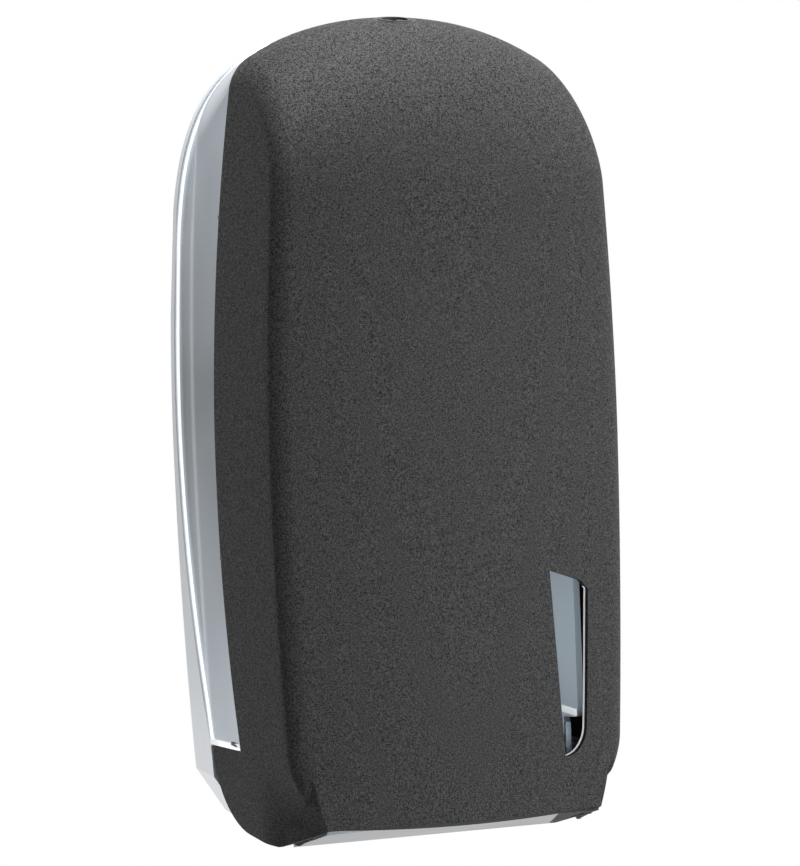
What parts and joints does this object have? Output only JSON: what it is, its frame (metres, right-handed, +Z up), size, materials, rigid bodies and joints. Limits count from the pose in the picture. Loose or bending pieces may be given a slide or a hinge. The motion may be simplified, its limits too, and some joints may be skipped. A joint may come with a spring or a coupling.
{
  "type": "toilet tissue dispenser",
  "caption": "Tall arch-topped wall dispenser for folded toilet tissue, with a drop-down front cover, key lock, level window and open bottom outlet.",
  "frame": {"origin": "centre of the four wall screw holes, on the wall plane", "axes": "+Z up, +Y into the wall, -Y out of the front, +X to the right seen from the front"},
  "size_m": [0.1342, 0.158, 0.3084],
  "materials": {
    "silver": "satin silver-grey moulded plastic",
    "cover_silver": "satin silver-grey moulded plastic",
    "dark_film": "charcoal textured plastic with a fine woven grain",
    "grey_panel": "satin blue-grey moulded plastic",
    "black_plastic": "black moulded plastic",
    "clear_lens": "clear polished plastic",
    "lock_chrome": "bright chrome",
    "lock_plug": "chrome face with a dark key slot",
    "zinc_steel": "zinc-plated steel",
    "pin_steel": "turned steel",
    "screw_steel": "zinc-plated steel screws"
  },
  "bodies": {
    "base": {"back_plate": "silver", "magazine_wall_left": "grey_panel", "magazine_wall_right": "grey_panel", "outlet_tray": "black_plastic", "lock_keeper": "zinc_steel", "magazine_screws": "screw_steel", "tray_screws": "screw_steel", "keeper_screws": "screw_steel", "hinge_pin_left": "pin_steel", "hinge_pin_right": "pin_steel"},
    "cover": {"cover_carcase": "cover_silver", "front_skin": "dark_film", "window_lens": "clear_lens", "hinge_bush_left": "black_plastic", "hinge_bush_right": "black_plastic", "lock_housing": "lock_chrome", "lock_nut": "zinc_steel"},
    "lock_rotor": {"lock_plug": "lock_plug", "lock_cam": "zinc_steel", "cam_screw": "screw_steel"}
  },
  "joints": [
    {"name": "cover_hinge", "type": "hinge", "parent": "base", "child": "cover", "pos_m": [0, -0.05, -0.141], "axis": [1, 0, 0], "range_deg": [0, 90]},
    {"name": "lock_turn", "type": "hinge", "parent": "cover", "child": "lock_rotor", "pos_m": [0, -0.09902, 0.14696], "axis": [0, -0.2302, 0.9731], "range_deg": [-90, 0]}
  ]
}
